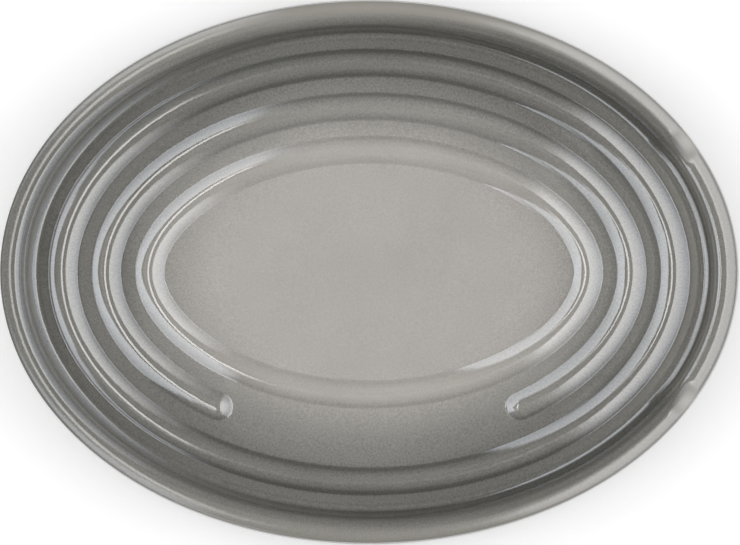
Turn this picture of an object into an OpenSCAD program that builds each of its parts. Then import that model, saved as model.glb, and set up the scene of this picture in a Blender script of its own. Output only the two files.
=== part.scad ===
// Oval spoon rest of glazed stoneware. The raised rim dips at one end, where the handle lies,
// and low rounded ribs on the dished floor run parallel to the rim. The middle rib is open at the front.
// X runs along the length towards the notch, Y towards the back, and Z = 0 is the table.

/* [Overall] */
// Length over the glaze
length = 160; // [152:1:172]
// Width over the glaze
width = 118; // [114:1:128]
// Height of the raised rim above the table
height = 20.5; // [19:0.5:26]

/* [Floor and foot] */
// Thickness of the clay floor in its middle
floor_thickness = 3.8; // [3:0.1:5]
// Rise of the dished floor from its middle to the outline
floor_dish = 3.4; // [2:0.1:4.4]
// How far the bare foot ring stands below the underside
foot_height = 1.4; // [1:0.1:2]
// Width of the foot ring
foot_width = 4.5; // [3:0.5:8]
// Distance from the outline to the foot ring
foot_inset = 9; // [8.5:0.5:14]

/* [Wall and rim] */
// Radius of the heel, the round that leads from the underside to the outer wall
heel_radius = 7; // [5:0.5:8]
// Distance from the outline to the crest of the rim
rim_inset = 2.4; // [2:0.1:2.8]
// Radius of the crown, the gentle arch over the rim
crown_radius = 11.6; // [10:0.2:13]
// Distance from the outline to the middle of the rim's inner shoulder
inner_edge = 3.9; // [3.4:0.1:4.2]
// Radius of the rim's inner shoulder, the round that leads down to the inner wall
inner_shoulder = 1.6; // [1:0.1:1.8]
// Distance from the outline to the middle of the rim's outer shoulder
outer_edge = 1.6; // [1.4:0.1:1.8]
// Radius of the rim's outer shoulder
outer_shoulder = 0.2; // [0.2:0.1:0.5]
// Distance from the outline to the place where the inner wall meets the floor
wall_inset = 8; // [7.8:0.1:9]
// Radius of the hollow fillet between floor and inner wall
fillet_radius = 2.4; // [1.5:0.1:2.5]

/* [Handle notch] */
// How far the rim dips in the notch
notch_drop = 2.5; // [1:0.5:5]
// Distance from the outline to the crest of the rim in the notch
notch_rim_inset = 2; // [1.8:0.1:2.6]
// Radius of the crown in the notch
notch_crown_radius = 17.6; // [11:0.2:20]
// Distance from the outline to the middle of the inner shoulder in the notch
notch_inner_edge = 4.5; // [3.6:0.1:4.6]
// Radius of the inner shoulder in the notch
notch_inner_shoulder = 0.6; // [0.2:0.1:1]
// Distance from the outline to the place where the inner wall meets the floor in the notch
notch_wall_inset = 7.6; // [7.3:0.1:8.5]
// Turn of the rim from the middle of the notch to the middle of its ramp, in degrees
notch_half_angle = 37.4; // [20:0.2:50]
// Turn of the rim along one ramp, in degrees
ramp_angle = 9; // [6:0.5:16]

/* [Ribs] */
// Number of ribs, counted from the rim
rib_count = 3; // [2:1:3]
// Width of a rib at its base
rib_width = 6; // [5:0.1:6.6]
// Rise of a rib above the floor
rib_rise = 0.45; // [0.3:0.05:1.2]
// Distance from the outline to the middle of the first rib
rib_inset = 13.6; // [12.8:0.1:14.4]
// Distance between the middles of two ribs
rib_pitch = 9.4; // [8.6:0.1:9.8]
// Turn of the rim from the front to where the open rib starts to round off, in degrees
gap_half_angle = 24.8; // [10:0.2:40]

/* [Glaze] */
// Thickness of the fired glaze
glaze = 0.4; // [0.2:0.1:0.6]

/* [Hidden] */

half_turn = 180;
full_turn = 360;
// Direction of the front seen from above, and of straight up and down in a section
front = 270;
up = 90;
down = 270;

// Counts of flat steps along each stretch of the outline and each arc of the section
notch_steps = 5;
ramp_steps = 5;
side_steps = 30;
tip_steps = 4;
gap_steps = 8;
corner_steps = 4;
rib_steps = 4;
well_steps = 2;
fillet_steps = 2;
inner_shoulder_steps = 3;
outer_shoulder_steps = 2;
heel_steps = 3;

half_length = length / 2;
half_width = width / 2;
floor_level = foot_height + floor_thickness;
open_rib = 1;
open_rib_inset = rib_inset + open_rib * rib_pitch;

// The rib's section is an arc whose centre lies rib_depth below the floor
rib_radius = (pow(rib_width / 2, 2) + pow(rib_rise, 2)) / (2 * rib_rise);
rib_depth = rib_radius - rib_rise;
rib_turn = asin(rib_width / 2 / rib_radius);
rib_shares = [for (i = [0 : rib_steps]) sin(rib_turn * (1 - 2 * i / rib_steps)) / sin(rib_turn)];

function half_base(grow) = sqrt(pow(rib_radius + grow, 2) - pow(rib_depth + grow, 2));

// Radius of the outline's curve where its outward normal points along angle
function bend_radius(angle) =
    pow(half_length * half_width, 2) / pow(norm([half_length * cos(angle), half_width * sin(angle)]), 3);

tip_bend = bend_radius(front - gap_half_angle) - open_rib_inset;
tip_angle = half_base(glaze) / tip_bend * half_turn / PI;

// Directions of the outline's normal at which the sections stand, once round from the notch
notch_end = notch_half_angle - ramp_angle / 2;
ramp_end = notch_half_angle + ramp_angle / 2;
gap_start = front - gap_half_angle;
gap_end = front + gap_half_angle;
section_angles = concat(
    steps_between(0, notch_end, notch_steps),
    steps_between(notch_end, ramp_end, ramp_steps),
    steps_between(ramp_end, gap_start, side_steps),
    steps_between(gap_start, gap_start + tip_angle, tip_steps),
    steps_between(gap_start + tip_angle, gap_end - tip_angle, gap_steps),
    steps_between(gap_end - tip_angle, gap_end, tip_steps),
    steps_between(gap_end, full_turn - ramp_end, corner_steps),
    steps_between(full_turn - ramp_end, full_turn - notch_end, ramp_steps),
    steps_between(full_turn - notch_end, full_turn, notch_steps)
);

function steps_between(from, to, count) = [for (i = [0 : count - 1]) from + (to - from) * i / count];

function smooth(x) = let (t = min(max(x, 0), 1)) t * t * (3 - 2 * t);

// Share of the notch's full depth: 1 in the notch, 0 on the raised rim
function dip_share(angle) =
    let (turn = min(angle, full_turn - angle))
    smooth((ramp_end - turn) / ramp_angle);

// Size of a section that goes over from the raised rim to the notch
function blended(raised, notched, dip) = raised + (notched - raised) * dip;

// Point of the outline whose outward normal points along angle
function outline_point(angle) =
    let (span = norm([half_length * cos(angle), half_width * sin(angle)]))
    [pow(half_length, 2) * cos(angle) / span, pow(half_width, 2) * sin(angle) / span];

// Place in space of a section point, given as [distance in from the outline, height]
function placed(angle, point) =
    let (edge = outline_point(angle) - point.x * [cos(angle), sin(angle)])
    [edge.x, edge.y, point.y];

function arc(centre, radius, from, to, count) =
    [for (i = [0 : count])
        let (turn = from + (to - from) * i / count)
        centre + radius * [cos(turn), sin(turn)]];

// Distance by which a section has passed the centre of the open rib's round end
function past_end(angle) =
    abs(angle - front) >= gap_half_angle ? 0 :
    let (end = angle < front ? gap_start : gap_end, middle = [open_rib_inset, 0])
    norm(placed(angle, middle) - placed(end, middle));

function rib_height(across, past, grow) =
    let (square = pow(rib_radius + grow, 2) - pow(across, 2) - pow(past, 2))
    max(0, sqrt(max(0, square)) - rib_depth - grow);

// Level of the clay floor between the ribs, which rises with the square of the oval radius
function dish_level(angle, inset) =
    let (point = placed(angle, [inset, 0]))
    floor_level + floor_dish * (pow(point.x / half_length, 2) + pow(point.y / half_width, 2));

// Section of the floor from the innermost rib outwards, its surface raised by grow
function floor_section(angle, grow) =
    [for (rib = [rib_count - 1 : -1 : 0])
        let (past = rib == open_rib ? past_end(angle) : 0)
        for (share = rib_shares)
            let (across = share * half_base(grow), inset = rib_inset + rib * rib_pitch + across)
            [inset, dish_level(angle, inset) + grow + rib_height(across, past, grow)]];

// Section of the wall: fillet, shoulders, crown and heel as arcs, joined by the straight lines that
// touch them
function wall_section(angle, grow) =
    let (
        dip = dip_share(angle),
        crown = blended(crown_radius, notch_crown_radius, dip),
        rim = [blended(rim_inset, notch_rim_inset, dip), height - glaze - crown - notch_drop * dip],
        edge = blended(inner_edge, notch_inner_edge, dip),
        shoulder = blended(inner_shoulder, notch_inner_shoulder, dip),
        foot = blended(wall_inset, notch_wall_inset, dip),
        inner_turn = asin((edge - rim.x) / (crown - shoulder)),
        outer_turn = asin((rim.x - outer_edge) / (crown - outer_shoulder)),
        inner = [edge, rim.y + (crown - shoulder) * cos(inner_turn)],
        outer = [outer_edge, rim.y + (crown - outer_shoulder) * cos(outer_turn)],
        fillet = [foot, dish_level(angle, foot) + fillet_radius],
        heel = [glaze + heel_radius, foot_height + heel_radius],
        inside = fillet - inner,
        outside = heel - outer,
        inner_lean = acos((fillet_radius + shoulder) / norm(inside)) - atan2(-inside.y, inside.x),
        outer_lean = atan2(-outside.y, outside.x) - acos((heel_radius - outer_shoulder) / norm(outside))
    )
    concat(
        arc(fillet, fillet_radius - grow, down, half_turn + inner_lean, fillet_steps),
        arc(inner, shoulder + grow, inner_lean, up - inner_turn, inner_shoulder_steps),
        arc(rim, crown + grow, up - inner_turn / 2, up, 1),
        arc(outer, outer_shoulder + grow, up + outer_turn, half_turn - outer_lean, outer_shoulder_steps),
        arc(heel, heel_radius + grow, half_turn - outer_lean, down, heel_steps),
        [[foot_inset, foot_height - grow]]
    );

function upper_section(angle, grow) = concat(floor_section(angle, grow), wall_section(angle, grow));

function foot_section() = [
    [foot_inset, 0],
    [foot_inset + foot_width, 0],
    [foot_inset + foot_width, foot_height]
];

function reversed(list) = [for (i = [len(list) - 1 : -1 : 0]) list[i]];

// Smaller copies of a row of points round the middle, which carry a dished floor in to its middle
function well_rings(row, level, count) =
    [for (i = [1 : 1 : count])
        let (share = i / (count + 1))
        [for (point = row) [point.x * share, point.y * share, level + (point.z - level) * pow(share, 2)]]];

// Closed skin through the sections, with rings and a fan at each end that lead to start_level and
// end_level in the middle. Up to turn_row the facets are split along one diagonal and beyond it
// along the other, so that the two faces of a coat are split alike.
module loft(sections, start_level, end_level, start_rings, end_rings, turn_row) {
    columns = len(sections);
    skin = [for (row = [0 : len(sections[0]) - 1])
        [for (i = [0 : columns - 1]) placed(section_angles[i], sections[i][row])]];
    grid = concat(
        well_rings(skin[0], start_level, start_rings),
        skin,
        reversed(well_rings(skin[len(skin) - 1], end_level, end_rings))
    );
    rows = len(grid);
    start_cap = rows * columns;
    points = concat([for (row = grid) for (point = row) point], [[0, 0, start_level], [0, 0, end_level]]);
    function corner(row, i) = row * columns + i % columns;
    sides = [for (row = [0 : rows - 2]) for (i = [0 : columns - 1])
        let (a = corner(row, i), b = corner(row, i + 1), c = corner(row + 1, i + 1), d = corner(row + 1, i))
        for (face = row < start_rings + turn_row ? [[a, b, c], [a, c, d]] : [[a, b, d], [b, c, d]])
            face];
    start_faces = [for (i = [0 : columns - 1]) [start_cap, corner(0, i + 1), corner(0, i)]];
    end_faces = [for (i = [0 : columns - 1]) [start_cap + 1, corner(rows - 1, i), corner(rows - 1, i + 1)]];
    polyhedron(points, concat(start_faces, sides, end_faces), convexity = 10);
}

// Fired clay body with its ribs, wall and foot ring
module stoneware_body() {
    sections = [for (angle = section_angles) concat(upper_section(angle, 0), foot_section())];
    color("tan") loft(sections, floor_level, foot_height, well_steps, 0, len(sections[0]));
}

// Glass coat over the upper side, the rim and the outer wall, down to the foot ring
module glaze_coat() {
    sections = [for (angle = section_angles)
        concat(upper_section(angle, glaze), reversed(upper_section(angle, 0)))];
    turn_row = len(sections[0]) / 2;
    color("darkgray") loft(sections, floor_level + glaze, floor_level, well_steps, well_steps, turn_row);
}

// Glass coat on the underside, inside the foot ring
module base_glaze() {
    edge = foot_inset + foot_width;
    sections = [for (angle = section_angles) [[edge, foot_height], [edge, foot_height - glaze]]];
    color("dimgray") loft(sections, foot_height, foot_height - glaze, 0, 0, len(sections[0]));
}

stoneware_body();
glaze_coat();
base_glaze();
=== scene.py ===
import bpy
import numpy as np
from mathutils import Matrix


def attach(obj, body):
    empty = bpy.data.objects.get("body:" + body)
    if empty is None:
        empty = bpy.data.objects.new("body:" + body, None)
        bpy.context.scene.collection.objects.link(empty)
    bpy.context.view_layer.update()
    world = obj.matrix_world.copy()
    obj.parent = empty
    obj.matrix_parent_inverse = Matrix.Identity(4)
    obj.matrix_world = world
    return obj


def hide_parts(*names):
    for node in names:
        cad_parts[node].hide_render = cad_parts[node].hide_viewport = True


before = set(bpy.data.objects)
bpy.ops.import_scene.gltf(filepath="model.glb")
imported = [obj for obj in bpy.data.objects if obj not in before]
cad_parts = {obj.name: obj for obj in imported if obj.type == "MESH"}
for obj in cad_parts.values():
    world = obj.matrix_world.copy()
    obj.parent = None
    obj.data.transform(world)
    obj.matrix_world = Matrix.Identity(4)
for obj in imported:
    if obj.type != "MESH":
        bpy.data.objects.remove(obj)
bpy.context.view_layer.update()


# Stoneware body. The fired clay dish, pressed in one piece between two moulds: floor with three
# ribs, wall, rim with a dip at one end for the spoon's handle, and a foot ring.
# It is bare only on the foot ring, which is wiped and ground flat before the glaze firing.

# Sizes in millimetres and angles in degrees. A section point is given by its inset, the distance
# in from the outline, and by its level, the height above the table.
HALF_LENGTH, HALF_WIDTH, HEIGHT = 80.0, 59.0, 20.5
FLOOR_LEVEL, DISH = 5.2, 3.4
FOOT_HEIGHT, FOOT_INSET, FOOT_WIDTH, FOOT_ROUND = 1.4, 9.0, 4.5, 0.4
HEEL_RADIUS = 7.0
RIM_INSET, CROWN_RADIUS = 2.4, 11.6
INNER_EDGE, INNER_SHOULDER, OUTER_EDGE, OUTER_SHOULDER = 3.9, 1.6, 1.6, 0.2
WALL_INSET, FILLET_RADIUS = 8.0, 2.4
NOTCH_DROP, NOTCH_HALF_ANGLE, RAMP_ANGLE = 2.5, 37.4, 9.0
NOTCH_RIM_INSET, NOTCH_CROWN_RADIUS = 2.0, 17.6
NOTCH_INNER_EDGE, NOTCH_INNER_SHOULDER, NOTCH_WALL_INSET = 4.5, 0.6, 7.6
RIB_COUNT, OPEN_RIB = 3, 1
RIB_WIDTH, RIB_RISE, RIB_INSET, RIB_PITCH = 6.0, 0.45, 13.6, 9.4
GAP_HALF_ANGLE, FRONT = 24.8, 270.0
GLAZE = 0.4
OPEN_INSET = RIB_INSET + OPEN_RIB * RIB_PITCH
WELL_INSET = RIB_INSET + (RIB_COUNT - 1) * RIB_PITCH + RIB_WIDTH / 2
METRES = 0.001


def bell(value, middle, half):
    """1 at the middle, falling away on both sides: the exponential of minus the square of the
    distance over half."""
    return np.exp(-((value - middle) / half) ** 2)


def soft_step(low, high, value):
    """0 below low, 1 above high, and an S-shaped rise between them: three times the square of the
    share of the way, less twice its cube."""
    t = np.clip((value - low) / (high - low), 0, 1)
    return t * t * (3 - 2 * t)


def crowded(start, stop, share, finer):
    """Values from start to stop at the given shares of the way. They lie closer together where
    finer names a middle, a half width and a gain: the density is one plus a bell there."""
    samples = 7201
    fine = np.linspace(start, stop, samples)
    density = np.ones_like(fine)
    for middle, half, gain in finer:
        density += gain * bell(fine, middle, half)
    swept = np.concatenate([[0], np.cumsum((density[1:] + density[:-1]) / 2)])
    return np.interp(share * swept[-1], swept, fine)


def placed(turn, inset, level):
    """Points of the dish in metres. The outline is an ellipse: where its outward normal points
    along turn, it lies at the squared half axes times the normal, over the length of the half
    axes times the normal. A point stands inset millimetres behind it along that normal."""
    across = np.hypot(HALF_LENGTH * np.cos(turn), HALF_WIDTH * np.sin(turn))
    x = HALF_LENGTH ** 2 * np.cos(turn) / across - inset * np.cos(turn)
    y = HALF_WIDTH ** 2 * np.sin(turn) / across - inset * np.sin(turn)
    return np.stack(np.broadcast_arrays(x, y, level), axis=-1) * METRES


def dip_share(turn):
    """Share of the notch's depth: 1 in the notch and 0 on the raised rim, with a soft step along
    each ramp between them."""
    degrees = np.degrees(turn)
    away = np.minimum(degrees, 360 - degrees)
    half_ramp = RAMP_ANGLE / 2
    return 1 - soft_step(NOTCH_HALF_ANGLE - half_ramp, NOTCH_HALF_ANGLE + half_ramp, away)


def blended(turn, raised, notched):
    """A size of the section that goes over from the raised rim to the notch along the ramps."""
    return raised + (notched - raised) * dip_share(turn)


def floor_level(turn, inset):
    """Level of the clay floor between the ribs. The floor is dished: it rises from its middle by
    DISH times the square of the oval radius, which is 1 on the outline."""
    point = placed(turn, inset, 0) / METRES
    return FLOOR_LEVEL + DISH * ((point[..., 0] / HALF_LENGTH) ** 2 + (point[..., 1] / HALF_WIDTH) ** 2)


def rib_arc(turn, inset, grow):
    """Height of the nearest rib's arc above the floor, below zero beside the rib. A rib's section
    is an arc of a circle that rises RIB_RISE over RIB_WIDTH, grown by the glaze. The middle rib
    is open at the front, where each end is a cap of a sphere of the same radius."""
    radius = ((RIB_WIDTH / 2) ** 2 + RIB_RISE ** 2) / (2 * RIB_RISE)
    depth = radius - RIB_RISE
    side = np.where(np.degrees(turn) < FRONT, -1, 1)
    end = placed(np.radians(FRONT + side * GAP_HALF_ANGLE), OPEN_INSET, 0)
    gap = np.abs(np.degrees(turn) - FRONT) < GAP_HALF_ANGLE
    past = np.where(gap, np.linalg.norm(placed(turn, OPEN_INSET, 0) - end, axis=-1) / METRES, 0)
    number = np.arange(RIB_COUNT)[:, None, None]
    across = inset - (RIB_INSET + number * RIB_PITCH)
    square = (radius + grow) ** 2 - across ** 2 - np.where(number == OPEN_RIB, past, 0) ** 2
    return np.max(np.sqrt(np.maximum(square, 0)) - depth - grow, axis=0)


def rib_height(turn, inset, grow):
    """Height of the surface above the floor: the rib's arc with a foot that runs out softly, half
    the sum of the arc and the root of its square plus a small square."""
    arc = rib_arc(turn, inset, grow)
    foot = 0.008
    return (arc + np.sqrt(arc ** 2 + foot ** 2)) / 2


def arc_rows(inset, level, radius, start, stop, count):
    """Rows of an arc round a centre given by inset and level, from the angle start to stop."""
    angle = start + (stop - start) * np.linspace(0, 1, count)[:, None]
    return inset + radius * np.cos(angle), level + radius * np.sin(angle)


def upper_section(turn, grow, floor_rows, arc_count):
    """Inset and level of the upper side, from the well's edge over the ribs, the wall and the
    rim to the foot ring, one row for each step and one column for each turn. Fillet, shoulders,
    crown and heel are arcs, and the straight stretches touch them. Rows lie closer at the ribs'
    feet, and the floor's last rows follow the wall where it stands further out in the notch."""
    near_foot, foot_gain = 0.5, 5
    lead_in, follow_reach = 1.0, 2.0
    wall_inset = blended(turn, WALL_INSET, NOTCH_WALL_INSET)
    rib_middle = RIB_INSET + np.arange(RIB_COUNT)[:, None] * RIB_PITCH
    rib_foot = rib_middle + np.array([-RIB_WIDTH, RIB_WIDTH]) / 2
    near_feet = [(foot, near_foot, foot_gain) for foot in rib_foot.ravel()]
    share = np.linspace(0, 1, floor_rows)
    row_inset = crowded(WELL_INSET + lead_in, WALL_INSET, share, near_feet)[:, None]
    follow = np.clip(1 - (row_inset - WALL_INSET) / follow_reach, 0, 1)
    floor_inset = row_inset + (wall_inset - WALL_INSET) * follow
    floor = floor_level(turn, floor_inset) + grow + rib_height(turn, floor_inset, grow)

    rim_inset = blended(turn, RIM_INSET, NOTCH_RIM_INSET)
    crown_radius = blended(turn, CROWN_RADIUS, NOTCH_CROWN_RADIUS)
    inner_edge = blended(turn, INNER_EDGE, NOTCH_INNER_EDGE)
    inner_shoulder = blended(turn, INNER_SHOULDER, NOTCH_INNER_SHOULDER)
    crown_level = HEIGHT - GLAZE - crown_radius - NOTCH_DROP * dip_share(turn)
    inner_turn = np.arcsin((inner_edge - rim_inset) / (crown_radius - inner_shoulder))
    outer_turn = np.arcsin((rim_inset - OUTER_EDGE) / (crown_radius - OUTER_SHOULDER))
    inner_level = crown_level + (crown_radius - inner_shoulder) * np.cos(inner_turn)
    outer_level = crown_level + (crown_radius - OUTER_SHOULDER) * np.cos(outer_turn)
    fillet_level = floor_level(turn, wall_inset) + FILLET_RADIUS
    heel_inset, heel_level = GLAZE + HEEL_RADIUS, FOOT_HEIGHT + HEEL_RADIUS

    run, climb = wall_inset - inner_edge, inner_level - fillet_level
    reach = (FILLET_RADIUS + inner_shoulder) / np.hypot(run, climb)
    inner_lean = np.arccos(reach) - np.arctan2(climb, run)
    run, climb = heel_inset - OUTER_EDGE, outer_level - heel_level
    reach = (HEEL_RADIUS - OUTER_SHOULDER) / np.hypot(run, climb)
    outer_lean = np.arctan2(climb, run) - np.arccos(reach)

    up, down = np.pi / 2, 1.5 * np.pi
    # The crown's rows stop short of the shoulders, so that no two rows coincide
    crown_span = 0.92
    crown_start, crown_stop = up - inner_turn * crown_span, up + outer_turn * crown_span
    inner_stop, outer_start, wall_stop = up - inner_turn, up + outer_turn, np.pi - outer_lean
    parts = [
        (floor_inset[:-1], floor[:-1]),
        arc_rows(wall_inset, fillet_level, FILLET_RADIUS - grow, down, np.pi + inner_lean, arc_count),
        arc_rows(inner_edge, inner_level, inner_shoulder + grow, inner_lean, inner_stop, arc_count),
        arc_rows(rim_inset, crown_level, crown_radius + grow, crown_start, crown_stop, arc_count),
        arc_rows(OUTER_EDGE, outer_level, OUTER_SHOULDER + grow, outer_start, wall_stop, arc_count),
        arc_rows(heel_inset, heel_level, HEEL_RADIUS + grow, wall_stop, down, arc_count),
        (np.full((1, len(turn)), FOOT_INSET), np.full((1, len(turn)), FOOT_HEIGHT - grow)),
    ]
    return [np.concatenate([np.broadcast_to(part[k], (len(part[k]), len(turn))) for part in parts])
            for k in (0, 1)]


def well_rows(ring, middle, count):
    """Rows that carry the well from near its middle out to ring, each a smaller copy of it. The
    level falls to that of the middle with the square of the size, as the dished floor does."""
    size = np.linspace(1 / (count + 1), 1, count, endpoint=False)[:, None, None]
    rows = ring * size
    rows[..., 2] = middle * METRES + (ring[..., 2] - middle * METRES) * size[..., 0] ** 2
    return rows


def closed_skin(name, points, start, stop):
    """Object whose faces join neighbouring rows and columns of points, closed round the columns,
    with a fan to the pole start before the first row and to the pole stop beyond the last."""
    rows, columns = points.shape[:2]
    number = np.arange(rows * columns).reshape(rows, columns)
    beside = np.roll(number, -1, axis=1)
    quads = np.stack([number[:-1], beside[:-1], beside[1:], number[1:]], axis=-1).reshape(-1, 4)
    first = np.stack([np.full(columns, rows * columns), beside[0], number[0]], axis=-1)
    last = np.stack([np.full(columns, rows * columns + 1), number[-1], beside[-1]], axis=-1)
    vertices = np.concatenate([points.reshape(-1, 3), [start, stop]])
    mesh = bpy.data.meshes.new(name)
    mesh.from_pydata(vertices.tolist(), [], first.tolist() + quads.tolist() + last.tolist())
    mesh.polygons.foreach_set("use_smooth", np.ones(len(mesh.polygons), dtype=bool))
    mesh.update()
    piece = bpy.data.objects.new(name, mesh)
    bpy.context.scene.collection.objects.link(piece)
    return piece


def linear(hex_colour):
    """Linear colour with full alpha of an sRGB hex colour, by the sRGB standard's curve."""
    value = np.array([int(hex_colour[i:i + 2], 16) for i in (1, 3, 5)]) / 255
    value = np.where(value <= 0.04045, value / 12.92, ((value + 0.055) / 1.055) ** 2.4)
    return (*value, 1.0)


def node(tree, kind, settings={}, **links):
    """Adds a node of the given kind, sets its properties and links the named inputs: an input
    named by its number is written i0, i1 and so on, and a plain value is set on the socket."""
    made = tree.nodes.new(kind)
    for name, value in settings.items():
        setattr(made, name, value)
    for name, value in links.items():
        key = int(name[1:]) if name[1:].isdigit() else name.replace("_", " ")
        socket = made.inputs[key]
        if isinstance(value, bpy.types.NodeSocket):
            tree.links.new(value, socket)
        else:
            socket.default_value = value
    return made


def new_material(name):
    """Empty node material and its tree."""
    material = bpy.data.materials.new(name)
    material.use_nodes = True
    material.node_tree.nodes.clear()
    return material, material.node_tree


# Columns stand closer at the open rib's two ends and on the notch's ramps
END_ANGLE, END_SPREAD, END_GAIN = 22, 4, 3
RAMP_SPREAD, RAMP_GAIN = 5, 2
near_ends = [(FRONT + side * END_ANGLE, END_SPREAD, END_GAIN) for side in (-1, 1)]
ramp_middles = (NOTCH_HALF_ANGLE, 360 - NOTCH_HALF_ANGLE)
near_ramps = [(middle, RAMP_SPREAD, RAMP_GAIN) for middle in ramp_middles]

BODY_COLUMNS, BODY_FLOOR_ROWS, BODY_ARC_ROWS, BODY_WELL_ROWS, FOOT_ROWS = 240, 60, 7, 2, 5
body_share = np.arange(BODY_COLUMNS) / BODY_COLUMNS
body_turn = np.radians(crowded(0, 360, body_share, near_ends + near_ramps))
inset, level = upper_section(body_turn, 0, BODY_FLOOR_ROWS, BODY_ARC_ROWS)
foot_angle = np.linspace(np.pi, 1.5 * np.pi, FOOT_ROWS)[:, None]
ones = np.ones((1, len(body_turn)))
outer_foot = (FOOT_INSET + FOOT_ROUND * (1 + np.cos(foot_angle)), FOOT_ROUND * (1 + np.sin(foot_angle)))
inner_foot = (2 * FOOT_INSET + FOOT_WIDTH - outer_foot[0][::-1], outer_foot[1][::-1])
foot_inset = np.concatenate([outer_foot[0], inner_foot[0], [[FOOT_INSET + FOOT_WIDTH]]]) * ones
foot_level = np.concatenate([outer_foot[1], inner_foot[1], [[FOOT_HEIGHT]]]) * ones
body_points = placed(body_turn, np.concatenate([inset, foot_inset]), np.concatenate([level, foot_level]))
body_well = well_rows(body_points[0], FLOOR_LEVEL, BODY_WELL_ROWS)
body = closed_skin("stoneware_clay", np.concatenate([body_well, body_points]),
                   (0, 0, FLOOR_LEVEL * METRES), (0, 0, FOOT_HEIGHT * METRES))

# Bare fired stoneware: a buff, matte, close grained clay with fine dark iron specks.
GRAIN_SIZE, SPECK_SIZE, GRAIN_DEPTH = 0.8, 0.5, 0.08
CLAY_DARK, CLAY_LIGHT, IRON_SPECK = "#B7A78E", "#D6C8B0", "#7A6A55"
material, tree = new_material("bare_stoneware")
place = node(tree, "ShaderNodeTexCoord").outputs["Object"]
grain = node(tree, "ShaderNodeTexNoise", Vector=place, Scale=1 / (GRAIN_SIZE * METRES), Detail=4.0,
             Roughness=0.6)
iron = node(tree, "ShaderNodeTexNoise", Vector=place, Scale=1 / (SPECK_SIZE * METRES), Detail=1.0)
specks = node(tree, "ShaderNodeMapRange", Value=iron.outputs["Fac"], From_Min=0.66, From_Max=0.72)
clay = node(tree, "ShaderNodeMix", {"data_type": "RGBA"}, Factor=grain.outputs["Fac"],
            i6=linear(CLAY_DARK), i7=linear(CLAY_LIGHT))
speckled = node(tree, "ShaderNodeMix", {"data_type": "RGBA"}, Factor=specks.outputs["Result"],
                i6=clay.outputs[2], i7=linear(IRON_SPECK))
bump = node(tree, "ShaderNodeBump", Height=grain.outputs["Fac"], Distance=GRAIN_DEPTH * METRES,
            Strength=0.6)
shader = node(tree, "ShaderNodeBsdfPrincipled", Base_Color=speckled.outputs[2], Roughness=0.85,
              Normal=bump.outputs["Normal"])
node(tree, "ShaderNodeOutputMaterial", Surface=shader.outputs["BSDF"])
body.data.materials.append(material)
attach(body, "root")
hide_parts("stoneware_body")


# Glaze coat. A glossy warm grey glass melted onto the upper side, the rim and the outer wall.
# A darker spray round the rim fades towards the well, and the melt runs thin on the rim and the
# ribs, where the buff clay warms it. Its colour also holds painted light on the rim, the walls and
# the floor's edge, and painted shade at the wall's foot, the ribs' feet and across the floor.
GLAZE_COLUMNS, GLAZE_FLOOR_ROWS, GLAZE_ARC_ROWS, GLAZE_WELL_ROWS = 400, 120, 10, 10
INNER_FLOOR_ROWS, INNER_ARC_ROWS, INNER_WELL_ROWS = 26, 4, 2
glaze_share = np.arange(GLAZE_COLUMNS) / GLAZE_COLUMNS
glaze_turn = np.radians(crowded(0, 360, glaze_share, near_ends + near_ramps))
inset, level = upper_section(glaze_turn, GLAZE, GLAZE_FLOOR_ROWS, GLAZE_ARC_ROWS)
inner_inset, inner_level = upper_section(glaze_turn, 0, INNER_FLOOR_ROWS, INNER_ARC_ROWS)
outside = placed(glaze_turn, inset, level)
inside = placed(glaze_turn, inner_inset, inner_level)[::-1]
well = well_rows(outside[0], FLOOR_LEVEL + GLAZE, GLAZE_WELL_ROWS)
under = well_rows(inside[-1], FLOOR_LEVEL, INNER_WELL_ROWS)[::-1]
coat = closed_skin("glaze_skin", np.concatenate([well, outside, inside, under]),
                   (0, 0, (FLOOR_LEVEL + GLAZE) * METRES), (0, 0, FLOOR_LEVEL * METRES))


def window(value, opening, closing):
    """1 between two soft steps: up across the opening pair of values, down across the closing."""
    return soft_step(*opening, value) * (1 - soft_step(*closing, value))


# Where each point of the coat lies: which way it faces, how far round from the notch and from the
# nearer end of the oval, how far in from the rim's crest, and on which side of the nearest rib
along, across = np.cos(glaze_turn), np.sin(glaze_turn)
to_left, to_right, to_front = np.maximum(-along, 0), np.maximum(along, 0), np.maximum(-across, 0)
sideways = across ** 2
from_notch = np.degrees(np.arccos(along))
from_end = np.degrees(np.arccos(np.abs(along)))
dip = dip_share(glaze_turn)
wall_end = blended(glaze_turn, WALL_INSET, NOTCH_WALL_INSET)
off_crest = inset - blended(glaze_turn, RIM_INSET, NOTCH_RIM_INSET)
heel_top = FOOT_HEIGHT + HEEL_RADIUS
above_heel = level > heel_top
on_floor = (inset > wall_end) & (level > FLOOR_LEVEL)
on_wall = above_heel & ~on_floor
arc = rib_arc(glaze_turn, inset, GLAZE)
rib_side = (inset - RIB_INSET + RIB_PITCH / 2) % RIB_PITCH - RIB_PITCH / 2
open_rib = (np.abs(inset - OPEN_INSET) < RIB_PITCH / 2) & (across < 0)
oval_radius = np.hypot(outside[..., 0] / HALF_LENGTH, outside[..., 1] / HALF_WIDTH) / METRES
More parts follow.
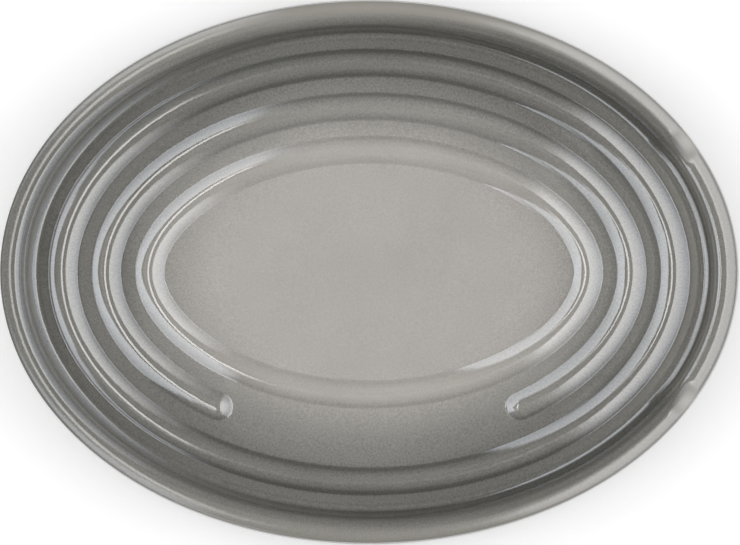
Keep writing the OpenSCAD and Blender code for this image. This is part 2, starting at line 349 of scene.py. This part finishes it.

# Thin glaze is lighter and warmer. It lies over the ribs, along the rim's crest and in a line on the
# notch's wall. The same share carries painted light: a painted highlight along the crest that is
# stronger at the back and front and fades out towards the left end, painted light on the crown along
# the ramps, on the outer wall and the floor's edge at the right, and a painted highlight line along
# the inner wall at the left end.
# The share is 0 for a full coat and may pass 1. Like the next two, it is set one by one.
WALL_TOP, CREST_IN, CREST_OUT = 12.4, 4.0, 20.0
RIM_SHARE, FRONT_LOSS = 0.5, 0.3
RAMP_LIGHT, CROWN_OPENING, CROWN_CLOSING = 5.0, (-1.6, -0.8), (0.6, 2.4)
OUTER_WALL_LIGHT, OUTER_WALL_EDGE = 1.3, (-1.2, -0.8)
NOTCH_WALL_SHARE, NOTCH_WALL_OPENING, NOTCH_WALL_CLOSING = 0.3, (3.2, 3.4), (4.2, 4.8)
LEFT_WALL_HIGHLIGHT, LEFT_WALL_INSET, LEFT_WALL_HALF = 0.6, 6.3, 0.6
RIB_SHARE, RIB_POWER = 0.24, 1.5
FLOOR_EDGE_LIGHT, FLOOR_EDGE_INSET, FLOOR_EDGE_HALF = 0.65, 9.3, 1.2
up_wall = soft_step(heel_top, WALL_TOP, level)
near_crest = up_wall * np.clip(1 - np.maximum(off_crest / CREST_IN, -off_crest / CREST_OUT), 0, 1)
# Thin glaze along the crest, with a painted highlight that is stronger at the back and front and fades
# out towards the left end
rim_thin_and_highlight = np.maximum(RIM_SHARE * (1 + sideways) - to_left ** 2 - FRONT_LOSS * to_front ** 2, 0)
# Painted light on the crown along the ramps
ramp_light = RAMP_LIGHT * dip * (1 - dip) * window(off_crest, CROWN_OPENING, CROWN_CLOSING)
# The rim's thin glaze together with its painted light
rim_thin_and_lit = near_crest * (rim_thin_and_highlight + ramp_light)
# Painted light on the outer wall towards the right
outer_wall_light = OUTER_WALL_LIGHT * up_wall * to_right * (1 - soft_step(*OUTER_WALL_EDGE, off_crest))
notch_wall = np.where(on_wall, dip * window(off_crest, NOTCH_WALL_OPENING, NOTCH_WALL_CLOSING), 0)
# Painted highlight: a light line along the inner wall at the left end
left_wall_highlight = LEFT_WALL_HIGHLIGHT * to_left * bell(inset, LEFT_WALL_INSET, LEFT_WALL_HALF)
left_wall_highlight = np.where(above_heel, left_wall_highlight, 0)
# Thin glaze and painted light on the rim and walls
wall_thin_and_lit = np.maximum.reduce([rim_thin_and_lit, outer_wall_light, NOTCH_WALL_SHARE * notch_wall, left_wall_highlight])
rib_thin = RIB_SHARE * np.clip(arc / RIB_RISE, 0, 1) ** RIB_POWER
# Painted light on the floor's edge at the right, beside the notch
right_floor_light = FLOOR_EDGE_LIGHT * to_right ** 2 * bell(inset, FLOOR_EDGE_INSET, FLOOR_EDGE_HALF)
thin_and_lit = np.where(on_floor, np.maximum(rib_thin, right_floor_light), wall_thin_and_lit)

# Dry glaze is less glossy. It lies along the rim's crest, on the rim's inner round beside the notch
# and its outer round at the left, on the notch's wall, on parts of the ribs' outer flanks, and at
# the ribs' inner feet at the right.
CREST_DRY, CREST_DRY_EDGE = 0.3, (0.6, 1.6)
INNER_ROUND_DRY, INNER_ROUND_EDGE, INNER_ROUND_END = 0.85, (1.0, 1.35), (70, 100)
OUTER_ROUND_DRY, OUTER_ROUND_EDGE = 0.9, (-1.0, -0.6)
NOTCH_WALL_DRY, FLANK_DRY, INNER_FOOT_DRY = 0.75, 0.8, 0.85
FLANK_ONSET, OUTER_RIB_ONSET, OPEN_RIB_ONSET, RIGHT_ONSET, ONSET_LENGTH = 68, 58, 90, 50, 14
FLANK_FOOT, FLANK_TOP = -0.06, (-0.6, 0)
BAND_START, BAND_DRIFT, BAND_TURN, BAND_SOFT, BAND_CLOSING = -1.5, 1.2, (15, 55), 0.3, (-1.0, -0.7)
TAPER_START, TAPER_DRIFT, TAPER_TURN, TAPER_SOFT = -3.2, 2.0, (44, 66), 0.15
INNER_FOOT_SIDE, INNER_FOOT_TURN, INNER_FOOT_SOFT, WELL_MARGIN = 3.25, (15, 60), 0.1, 0.5
BACK_DRIFT, FRONT_DRIFT = 0.95, 0.5
FACING_LEFT, FACING_RIGHT = (0, 0.2), (0.4, 0.7)
crest_dry = CREST_DRY * near_crest * (1 - soft_step(*CREST_DRY_EDGE, off_crest))
beside_notch = (1 - dip) * (1 - soft_step(*INNER_ROUND_END, from_notch))
inner_round = np.where(on_wall, beside_notch * soft_step(*INNER_ROUND_EDGE, off_crest), 0)
outer_round = up_wall * to_left * (1 - soft_step(*OUTER_ROUND_EDGE, off_crest))
on_left = soft_step(*FACING_LEFT, to_left)
on_rib = on_floor & (arc > FLANK_FOOT)

onset = np.where(inset < RIB_INSET, OUTER_RIB_ONSET, FLANK_ONSET)
onset = np.where(along > 0, RIGHT_ONSET, np.where(open_rib, OPEN_RIB_ONSET, onset))
flank = np.where(on_rib & (rib_side < 0), soft_step(onset, onset + ONSET_LENGTH, from_end), 0)
flank = flank * (1 - soft_step(*FLANK_TOP, rib_side))
band_start = BAND_START - BAND_DRIFT * soft_step(*BAND_TURN, from_end)
shaded = window(rib_side, (band_start, band_start + BAND_SOFT), BAND_CLOSING)
shaded = np.where(on_floor & (inset < RIB_INSET), shaded, 0) * on_left
taper = TAPER_START + TAPER_DRIFT * soft_step(*TAPER_TURN, from_end)
tapered = 1 - soft_step(taper - TAPER_SOFT, taper + TAPER_SOFT, rib_side)
tapered = np.where(on_rib & open_rib, tapered, 0) * on_left
outer_flank = np.maximum.reduce([flank, shaded, tapered])

drift = np.where(across > 0, BACK_DRIFT, np.where(open_rib, 0, FRONT_DRIFT))
foot_side = INNER_FOOT_SIDE - drift * soft_step(*INNER_FOOT_TURN, from_end)
past_rib = soft_step(foot_side - INNER_FOOT_SOFT, foot_side + INNER_FOOT_SOFT, rib_side)
past_rib = np.where(on_floor & (inset < WELL_INSET + WELL_MARGIN), past_rib, 0)
past_rib = past_rib * soft_step(*FACING_RIGHT, to_right)
dry = np.maximum.reduce([crest_dry, INNER_ROUND_DRY * inner_round, OUTER_ROUND_DRY * outer_round,
                         FLANK_DRY * outer_flank, NOTCH_WALL_DRY * notch_wall,
                         INNER_FOOT_DRY * past_rib])

# Painted shade darkens the glaze. It lies at the foot of the wall, stronger at the front, back and
# notch and fading out towards the left end, in a line where the fillet meets the floor, at the feet
# of the ribs, beyond their inner feet at the right and on the rim's inner round beside the notch, and
# in a band on the floor at the front and back that runs out towards the right. Oval radii are 1 on
# the outline.
WALL_FOOT_SHADE, WALL_FOOT_GAIN, WALL_FOOT_INSET, WALL_FOOT_HALF = 0.7, 0.3, 7.0, 0.7
NOTCH_SHIFT, NOTCH_NARROWING = 0.8, 0.35
FILLET_SHADE, FILLET_PAST, FILLET_HALF = 0.4, 0.2, 0.4
RIB_FOOT_SHADE, RIB_FOOT_LOSS, RIB_FOOT_RISE, RIB_FOOT_HALF = 0.8, 0.6, 0.14, 0.13
INNER_FOOT_SHADE, INNER_FOOT_LOSS, INNER_FOOT_FADE = 0.6, 0.4, 1.0
SHADE_BAND_STRENGTH, SHADE_BAND_RADIUS, SHADE_BAND_DRIFT, SHADE_BAND_SOFT = 0.4, 0.62, 0.06, 0.06
SHADE_BAND_CLOSING, SHADE_BAND_LEFT_END = (0.82, 0.88), (0.68, 0.74)
INNER_ROUND_SHADE = 0.6
upper_side = above_heel | on_floor
to_well = soft_step(RIB_INSET, WELL_INSET, inset)
# Painted shade at the wall's foot, stronger at the front, back and notch and fading out towards the left
# end
wall_foot_shade = bell(inset, WALL_FOOT_INSET - NOTCH_SHIFT * dip, WALL_FOOT_HALF - NOTCH_NARROWING * dip)
wall_foot_shade = (WALL_FOOT_SHADE + WALL_FOOT_GAIN * np.maximum(dip, sideways)) * wall_foot_shade
wall_foot_shade = np.where(upper_side, wall_foot_shade, 0) * (1 - to_left)
# Painted shade in a line where the fillet meets the floor
fillet_shade = np.where(upper_side, FILLET_SHADE * bell(inset, wall_end + FILLET_PAST, FILLET_HALF), 0)
# Painted shade at the ribs' feet, stronger towards the wall and moved up the flanks at the front and back
rib_foot = bell(arc, RIB_FOOT_RISE * sideways, RIB_FOOT_HALF)
rib_foot = np.where(on_floor, (RIB_FOOT_SHADE - RIB_FOOT_LOSS * to_well) * rib_foot, 0)
# Painted shade beyond the ribs' inner feet, on the right half only
foot_fade = bell(np.maximum(rib_side - foot_side, 0), 0, INNER_FOOT_FADE)
inner_foot_shade = (INNER_FOOT_SHADE - INNER_FOOT_LOSS * to_well) * past_rib * foot_fade
# All of the pool share is painted shade
painted_shade = np.maximum.reduce([wall_foot_shade, fillet_shade, rib_foot, inner_foot_shade])
# Painted shade in a band on the floor at the front and back, which runs out at the right and, beyond its
# inner part, at the left
shade_band_start = SHADE_BAND_RADIUS + SHADE_BAND_DRIFT * sideways ** 2
shade_band = window(oval_radius, (shade_band_start, shade_band_start + SHADE_BAND_SOFT), SHADE_BAND_CLOSING)
shade_band *= (1 - to_right ** 2) * (1 - to_left ** 2 * soft_step(*SHADE_BAND_LEFT_END, oval_radius))
painted_shade = np.where(on_floor, painted_shade + SHADE_BAND_STRENGTH * shade_band, painted_shade)
# Painted shade on the rim's inner round beside the notch
painted_shade = np.maximum(painted_shade, INNER_ROUND_SHADE * inner_round)

plain_well = np.zeros(well.shape[:2])
plain_inside = np.zeros((len(inside) + len(under), len(glaze_turn)))
# thin carries thin glaze with painted light, pool carries painted shade, dry carries roughness
for name, share in (("thin_and_lit", thin_and_lit), ("painted_shade", painted_shade), ("dry", dry)):
    shares = np.concatenate([plain_well, share, plain_inside])
    layer = coat.data.attributes.new(name, "FLOAT", "POINT")
    layer.data.foreach_set("value", np.append(shares.ravel(), [0, 0]))

# Glazed stoneware: a smooth glass with a faint orange-peel ripple, fine bubbles that speckle the
# thick dark glaze, and a shade that follows the oval from dark at the rim to light in the well.
# The bubbles are drawn at 0.4 mm, coarser than real ones, so that they show.
BUBBLE_SIZE, CLOUD_SIZE, PEEL_SIZE, PEEL_DEPTH = 0.4, 12.0, 4.0, 0.02
WELL_TONE, SPRAY_TONE, RIM_TONE, THIN_AND_LIT_TONE = "#ACA8A3", "#787772", "#686762", "#C2BDB4"
THIN_AND_LIT_COVER, SHADE_LEVEL, SPECKLE, DRY_ROUGHNESS = 0.38, 0.5, 0.24, 0.25
material, tree = new_material("glazed_stoneware")
place = node(tree, "ShaderNodeTexCoord").outputs["Object"]
oval = node(tree, "ShaderNodeVectorMath", {"operation": "MULTIPLY"}, i0=place,
            i1=(1 / (HALF_LENGTH * METRES), 1 / (HALF_WIDTH * METRES), 0))
radius = node(tree, "ShaderNodeVectorMath", {"operation": "LENGTH"}, i0=oval.outputs["Vector"])
shade = node(tree, "ShaderNodeValToRGB", Fac=radius.outputs["Value"])
stops = [(0.40, WELL_TONE), (0.70, SPRAY_TONE), (1.0, RIM_TONE)]
ramp = shade.color_ramp
ramp.interpolation = "EASE"
while len(ramp.elements) < len(stops):
    ramp.elements.new(1.0)
for element, (position, colour) in zip(ramp.elements, stops):
    element.position, element.color = position, linear(colour)
# The thin share lightens and warms the tone: thin glaze together with painted light on the rim, walls and
# floor's edge
thinness_and_light = node(tree, "ShaderNodeAttribute", {"attribute_name": "thin_and_lit"}).outputs["Fac"]
cover = node(tree, "ShaderNodeMath", {"operation": "MULTIPLY"}, i0=thinness_and_light, i1=THIN_AND_LIT_COVER)
warmed_and_lit = node(tree, "ShaderNodeMix", {"data_type": "RGBA"}, Factor=cover.outputs["Value"],
              i6=shade.outputs["Color"], i7=linear(THIN_AND_LIT_TONE))
bubbles = node(tree, "ShaderNodeTexNoise", Vector=place, Scale=1 / (BUBBLE_SIZE * METRES), Detail=2.0,
               Roughness=0.6)
clouds = node(tree, "ShaderNodeTexNoise", Vector=place, Scale=1 / (CLOUD_SIZE * METRES), Detail=2.0)
speckle = node(tree, "ShaderNodeMapRange", Value=bubbles.outputs["Fac"], From_Min=0.3, From_Max=0.7,
               To_Min=-SPECKLE, To_Max=SPECKLE)
thickness = node(tree, "ShaderNodeMapRange", Value=radius.outputs["Value"], From_Min=0.35, From_Max=0.7,
                 To_Min=0.3, To_Max=1.0)
thickness = node(tree, "ShaderNodeMath", {"operation": "SUBTRACT", "use_clamp": True},
                 i0=thickness.outputs["Result"], i1=thinness_and_light)
speckle = node(tree, "ShaderNodeMath", {"operation": "MULTIPLY_ADD"}, i0=speckle.outputs["Result"],
               i1=thickness.outputs["Value"], i2=1.0)
cloudy = node(tree, "ShaderNodeMapRange", Value=clouds.outputs["Fac"], From_Min=0.3, From_Max=0.7,
              To_Min=0.97, To_Max=1.03)
# The pool share is painted shade: it darkens the tone down to half at full strength
shade_amount = node(tree, "ShaderNodeAttribute", {"attribute_name": "painted_shade"}).outputs["Fac"]
darker = node(tree, "ShaderNodeMapRange", Value=shade_amount, To_Min=1.0, To_Max=SHADE_LEVEL)
level_of = node(tree, "ShaderNodeMath", {"operation": "MULTIPLY"}, i0=speckle.outputs["Value"],
                i1=cloudy.outputs["Result"])
level_of = node(tree, "ShaderNodeMath", {"operation": "MULTIPLY"}, i0=level_of.outputs["Value"],
                i1=darker.outputs["Result"])
tone = node(tree, "ShaderNodeVectorMath", {"operation": "SCALE"}, i0=warmed_and_lit.outputs[2],
            Scale=level_of.outputs["Value"])
peel = node(tree, "ShaderNodeTexNoise", Vector=place, Scale=1 / (PEEL_SIZE * METRES), Detail=1.0)
bump = node(tree, "ShaderNodeBump", Height=peel.outputs["Fac"], Distance=PEEL_DEPTH * METRES,
            Strength=0.5)
dryness = node(tree, "ShaderNodeAttribute", {"attribute_name": "dry"}).outputs["Fac"]
gloss = node(tree, "ShaderNodeMapRange", Value=clouds.outputs["Fac"], To_Min=0.03, To_Max=0.06)
gloss = node(tree, "ShaderNodeMath", {"operation": "MULTIPLY_ADD"}, i0=dryness, i1=DRY_ROUGHNESS,
             i2=gloss.outputs["Result"])
sheen = node(tree, "ShaderNodeMapRange", Value=dryness, To_Min=0.5, To_Max=0.0)
shader = node(tree, "ShaderNodeBsdfPrincipled", Base_Color=tone.outputs["Vector"],
              Roughness=gloss.outputs["Value"], Specular_IOR_Level=sheen.outputs["Result"], IOR=1.52,
              Normal=bump.outputs["Normal"])
node(tree, "ShaderNodeOutputMaterial", Surface=shader.outputs["BSDF"])
coat.data.materials.append(material)
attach(coat, "root")
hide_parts("glaze_coat")


# Base glaze. The same glass on the underside, brushed on inside the foot ring and wiped back
# from it, so that its edge draws in to a rounded bead.
BEAD_ROWS, DISC_ROWS = 7, 6
bead = np.linspace(0, np.pi / 2, BEAD_ROWS)[:, None]
bead_inset = FOOT_INSET + FOOT_WIDTH + GLAZE * (1 - np.cos(bead))
bead_level = FOOT_HEIGHT - GLAZE * np.sin(bead)
base_points = placed(body_turn, bead_inset * ones, bead_level * ones)
disc = well_rows(base_points[-1], FOOT_HEIGHT - GLAZE, DISC_ROWS)[::-1]
base = closed_skin("base_glaze_skin", np.concatenate([base_points, disc]),
                   (0, 0, FOOT_HEIGHT * METRES), (0, 0, (FOOT_HEIGHT - GLAZE) * METRES))

# Brushed glaze: the same grey glass, uneven in thickness, with a fine speckle.
PATCH_SIZE, PATCH_DEPTH, BASE_SPECKLE_SIZE = 15.0, 0.1, 0.7
BASE_DARK, BASE_LIGHT = "#6E6D68", "#8D8A84"
material, tree = new_material("brushed_base_glaze")
place = node(tree, "ShaderNodeTexCoord").outputs["Object"]
patches = node(tree, "ShaderNodeTexNoise", Vector=place, Scale=1 / (PATCH_SIZE * METRES), Detail=3.0)
bubbles = node(tree, "ShaderNodeTexNoise", Vector=place, Scale=1 / (BASE_SPECKLE_SIZE * METRES),
               Detail=2.0)
body_tone = node(tree, "ShaderNodeMix", {"data_type": "RGBA"}, Factor=patches.outputs["Fac"],
                 i6=linear(BASE_DARK), i7=linear(BASE_LIGHT))
speckle = node(tree, "ShaderNodeMapRange", Value=bubbles.outputs["Fac"], From_Min=0.3, From_Max=0.7,
               To_Min=0.92, To_Max=1.08)
tone = node(tree, "ShaderNodeVectorMath", {"operation": "SCALE"}, i0=body_tone.outputs[2],
            Scale=speckle.outputs["Result"])
bump = node(tree, "ShaderNodeBump", Height=patches.outputs["Fac"], Distance=PATCH_DEPTH * METRES,
            Strength=0.5)
shader = node(tree, "ShaderNodeBsdfPrincipled", Base_Color=tone.outputs["Vector"], Roughness=0.12,
              IOR=1.52, Normal=bump.outputs["Normal"])
node(tree, "ShaderNodeOutputMaterial", Surface=shader.outputs["BSDF"])
base.data.materials.append(material)
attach(base, "root")
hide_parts("base_glaze")


# Studio. A white table, an even soft light from all round, and a light tent whose bright panes
# on the left and right are seen only as reflections in the glaze.
# The table lies 0.05 mm below the foot ring, so that the two faces don't coincide. Sizes in metres.
TABLE_HALF, TABLE_LEVEL, TABLE_LIFT, TABLE_WHITE = 6.0, -0.00005, 0.25, "#F4F4F4"
table_mesh = bpy.data.meshes.new("table")
corners = [(x * TABLE_HALF, y * TABLE_HALF, TABLE_LEVEL) for x, y in ((-1, -1), (1, -1), (1, 1), (-1, 1))]
table_mesh.from_pydata(corners, [], [(0, 1, 2, 3)])
table = bpy.data.objects.new("table", table_mesh)
bpy.context.scene.collection.objects.link(table)
material, tree = new_material("white_table")
cloth = node(tree, "ShaderNodeBsdfDiffuse", Color=linear(TABLE_WHITE))
ray = node(tree, "ShaderNodeLightPath")
lift = node(tree, "ShaderNodeMath", {"operation": "MULTIPLY"}, i0=ray.outputs["Is Camera Ray"],
            i1=TABLE_LIFT)
emission = node(tree, "ShaderNodeEmission", Strength=lift.outputs["Value"])
shader = node(tree, "ShaderNodeAddShader", i0=cloth.outputs["BSDF"], i1=emission.outputs["Emission"])
node(tree, "ShaderNodeOutputMaterial", Surface=shader.outputs["Shader"])
table_mesh.materials.append(material)


# Light tent. A dome of cloth over the table, near on the right and further off on the left. Its
# brightness depends on the direction as seen from the dish. The leans left and depth are how far
# a direction goes to the left and to the back for each metre that it rises.
FINE_STEP, FINE_END, COARSE_STEP, HORIZON, AZIMUTHS, LEAST_RISE = 0.25, 30, 1.0, 90, 360, 0.01
fine_zenith = np.arange(FINE_STEP, FINE_END, FINE_STEP)
coarse_zenith = np.arange(FINE_END, HORIZON + COARSE_STEP / 2, COARSE_STEP)
low = np.concatenate([fine_zenith, coarse_zenith])[:, None]
zenith = np.radians(low)
azimuth = np.linspace(0, 2 * np.pi, AZIMUTHS, endpoint=False)
way = np.stack(np.broadcast_arrays(np.sin(zenith) * np.cos(azimuth), np.sin(zenith) * np.sin(azimuth),
                                   np.cos(zenith)), axis=-1)
rise = np.maximum(way[..., 2], LEAST_RISE)
left, depth = -way[..., 0] / rise, way[..., 1] / rise
aside = np.abs(depth)
off_left = np.degrees(np.abs(np.arctan2(way[..., 1], -way[..., 0])))
off_right = 180 - off_left
NEAR_REACH, FAR_REACH, REACH_CHANGE = 0.6, 1.8, (0.17, 0.28)
reach = NEAR_REACH + (FAR_REACH - NEAR_REACH) * soft_step(*REACH_CHANGE, left)
tent = closed_skin("tent", way * reach[..., None], (0, 0, NEAR_REACH), (0, 0, -NEAR_REACH))

# Broad pane at the left. Its near edge bends towards the zenith at the front and back, and it ends
# at a slanting limit there.
EDGE_LEAN, EDGE_BEND_BACK, EDGE_BEND_FRONT, EDGE_LEAST = 0.33, 9.0, 18.0, 0.08
LIMIT_BACK, LIMIT_BACK_SLOPE, LIMIT_FRONT, LIMIT_FRONT_SLOPE, LIMIT_MOST = 0.03, 0.2, 0.045, 0.42, 0.23
PANE_SOFT, LEFT_SIDE_END, LEFT_LOW_END = 0.015, (76, 84), (60, 68)
LEFT_DIMMING, LEFT_DIM_LEAN = 0.3, (0.05, 0.3)
edge_bend = np.where(depth > 0, EDGE_BEND_BACK, EDGE_BEND_FRONT)
left_edge = np.maximum(EDGE_LEAN - edge_bend * depth ** 2, EDGE_LEAST)
front_limit = np.minimum(LIMIT_FRONT - LIMIT_FRONT_SLOPE * depth, LIMIT_MOST)
left_limit = np.where(depth > 0, LIMIT_BACK + LIMIT_BACK_SLOPE * depth, front_limit)
left_pane = soft_step(-PANE_SOFT, PANE_SOFT, left - left_edge)
left_pane *= soft_step(-PANE_SOFT, PANE_SOFT, left - left_limit)
left_pane *= (1 - soft_step(*LEFT_SIDE_END, off_left)) * (1 - soft_step(*LEFT_LOW_END, low))
left_pane *= 1 - LEFT_DIMMING * soft_step(*LEFT_DIM_LEAN, aside)

# Dim ceiling near the zenith, a slit beside the broad pane, and a narrow strip nearer the zenith
CEILING_STEP, CEILING_OPENING, CEILING_CLOSING = (-0.01, 0.01), (-0.06, -0.04), (0.0, 0.05)
CEILING_END = (0.2, 0.4)
SLIT_OPENING, SLIT_CLOSING = (0.155, 0.175), (-0.09, -0.06)
STRIP_OPENING, STRIP_EDGE, STRIP_NARROWING, STRIP_TURN = (0.055, 0.07), 0.14, 0.04, (15, 50)
STRIP_SIDE_END, STRIP_DIMMING, STRIP_DIM_LEAN = (56, 68), 0.75, (0.08, 0.18)
ceiling = (1 + soft_step(*CEILING_STEP, left)) * window(left, CEILING_OPENING, CEILING_CLOSING)
ceiling *= 1 - soft_step(*CEILING_END, aside)
slit = soft_step(*SLIT_OPENING, left) * (1 - soft_step(*SLIT_CLOSING, left - left_edge))
strip_edge = STRIP_EDGE - STRIP_NARROWING * soft_step(*STRIP_TURN, off_left)
strip = soft_step(*STRIP_OPENING, left) * (1 - soft_step(-PANE_SOFT, 0, left - strip_edge))
strip *= 1 - soft_step(*STRIP_SIDE_END, off_left)
strip *= 1 - STRIP_DIMMING * soft_step(*STRIP_DIM_LEAN, aside)

# Narrow pane at the right, which turns cooler and dimmer further down, and a low light below it
RIGHT_OPENING, RIGHT_SIDE_END, RIGHT_LOW_END = (0.058, 0.072), (54, 72), (50, 55)
RIGHT_DIMMING, RIGHT_DIM_LEAN, FALL_LEAN = 0.5, (0.06, 0.4), (0.05, 0.6)
LOW_OPENING, LOW_SIDE_END, LOW_RISE, WARMING = (46, 54), (50, 80), (60, 70), (54, 66)
right_pane = soft_step(*RIGHT_OPENING, -left) * (1 - soft_step(*RIGHT_SIDE_END, off_right))
right_pane *= 1 - soft_step(*RIGHT_LOW_END, low)
right_pane *= 1 - RIGHT_DIMMING * soft_step(*RIGHT_DIM_LEAN, aside)
fall = soft_step(*FALL_LEAN, -left)
right_low = soft_step(*LOW_OPENING, low) * (1 - soft_step(*LOW_SIDE_END, off_right))


def tinted(strength, tint):
    """Light of each direction: its strength times a red, green and blue tint."""
    return strength[..., None] * np.array(tint)


# Strengths and tints of the light
CLOTH_GLOW, LEFT_GLOW, STRIP_GLOW, CEILING_GLOW, SLIT_GLOW = 0.3, 8.3, 11.0, 0.5, 1.3
RIGHT_GLOW, RIGHT_FALL, COOL_GLOW, LOW_GLOW, LOW_GAIN = 8.4, 3.6, 1.0, 1.3, 0.6
LEFT_TINT, RIGHT_TINT = (0.93, 0.98, 1.05), (1, 1, 1)
STRIP_TINT, CEILING_TINT = (1, 0.98, 0.96), (1, 0.98, 0.94)
COOL_TINT, WARMING_TINT = (0.6, 0.95, 1.5), (0.35, 0.05, -0.4)
cool = np.array(COOL_TINT) + tinted(soft_step(*WARMING, low), WARMING_TINT)
low_glow = (LOW_GLOW + LOW_GAIN * soft_step(*LOW_RISE, low)) * right_low
glow = CLOTH_GLOW + tinted(LEFT_GLOW * left_pane, LEFT_TINT) + tinted(STRIP_GLOW * strip, STRIP_TINT)
glow += tinted(CEILING_GLOW * ceiling + SLIT_GLOW * slit, CEILING_TINT)
glow += tinted((RIGHT_GLOW - RIGHT_FALL * fall) * right_pane, RIGHT_TINT)
glow += tinted(COOL_GLOW * fall * right_pane + low_glow, cool)
glow = np.concatenate([glow, np.ones((*glow.shape[:2], 1))], axis=-1).reshape(-1, 4)
layer = tent.data.attributes.new("glow", "FLOAT_COLOR", "POINT")
layer.data.foreach_set("color", np.concatenate([glow, np.full((2, 4), CLOTH_GLOW)]).ravel())
material, tree = new_material("tent_cloth")
brightness = node(tree, "ShaderNodeAttribute", {"attribute_name": "glow"}).outputs["Color"]
shader = node(tree, "ShaderNodeEmission", Color=brightness)
node(tree, "ShaderNodeOutputMaterial", Surface=shader.outputs["Emission"])
material.cycles.emission_sampling = "NONE"
tent.data.materials.append(material)
tent.visible_camera = tent.visible_diffuse = tent.visible_shadow = tent.visible_transmission = False


# Softboxes. Two soft lamps that light the dish from the left and the right, sizes in metres and
# power in watts, and a white world that lights it evenly from all round.
BOX_WIDTH, BOX_LENGTH, BOX_POWER, BOX_ASIDE, BOX_HEIGHT = 0.6, 0.8, 2.5, 0.6, 0.7
WORLD_LIGHT, WORLD_SEEN, WHITE = 0.6, 1.0, (1.0, 1.0, 1.0, 1.0)
for name, side in (("left_softbox", -1), ("right_softbox", 1)):
    lamp = bpy.data.lights.new(name, "AREA")
    lamp.shape, lamp.size, lamp.size_y, lamp.energy = "RECTANGLE", BOX_WIDTH, BOX_LENGTH, BOX_POWER
    box = bpy.data.objects.new(name, lamp)
    box.location = (side * BOX_ASIDE, 0, BOX_HEIGHT)
    box.rotation_euler = (0, side * np.arctan2(BOX_ASIDE, BOX_HEIGHT), 0)
    box.visible_camera = box.visible_glossy = False
    bpy.context.scene.collection.objects.link(box)

world = bpy.data.worlds.new("studio")
bpy.context.scene.world = world
world.use_nodes = True
tree = world.node_tree
tree.nodes.clear()
ray = node(tree, "ShaderNodeLightPath")
soft = node(tree, "ShaderNodeBackground", Color=WHITE, Strength=WORLD_LIGHT)
white = node(tree, "ShaderNodeBackground", Color=WHITE, Strength=WORLD_SEEN)
seen = node(tree, "ShaderNodeMath", {"operation": "MAXIMUM"}, i0=ray.outputs["Is Camera Ray"],
            i1=ray.outputs["Is Glossy Ray"])
seen = node(tree, "ShaderNodeMath", {"operation": "MAXIMUM"}, i0=seen.outputs["Value"],
            i1=ray.outputs["Is Transmission Ray"])
mixed = node(tree, "ShaderNodeMixShader", Fac=seen.outputs["Value"], i1=soft.outputs["Background"],
             i2=white.outputs["Background"])
node(tree, "ShaderNodeOutputWorld", Surface=mixed.outputs["Shader"])


# Camera. It stands straight above the dish, its upper edge towards the back. The photograph's width
# of 740 pixels takes in 160.4 mm at the level of the widest outline. Sizes are in metres, and the
# sensor's in millimetres.
CAMERA_HEIGHT, CAMERA_X, CAMERA_Y, VIEW_WIDTH, SENSOR_WIDTH = 0.95, 0.00017, -0.00009, 0.1604, 36.0
widest_level = (FOOT_HEIGHT + HEEL_RADIUS) * METRES
camera_data = bpy.data.cameras.new("camera")
camera_data.sensor_width = SENSOR_WIDTH
camera_data.lens = SENSOR_WIDTH * (CAMERA_HEIGHT - widest_level) / VIEW_WIDTH
camera = bpy.data.objects.new("camera", camera_data)
camera.location = (CAMERA_X, CAMERA_Y, CAMERA_HEIGHT)
bpy.context.scene.collection.objects.link(camera)
bpy.context.scene.camera = camera
bpy.context.scene.view_settings.view_transform = "Standard"
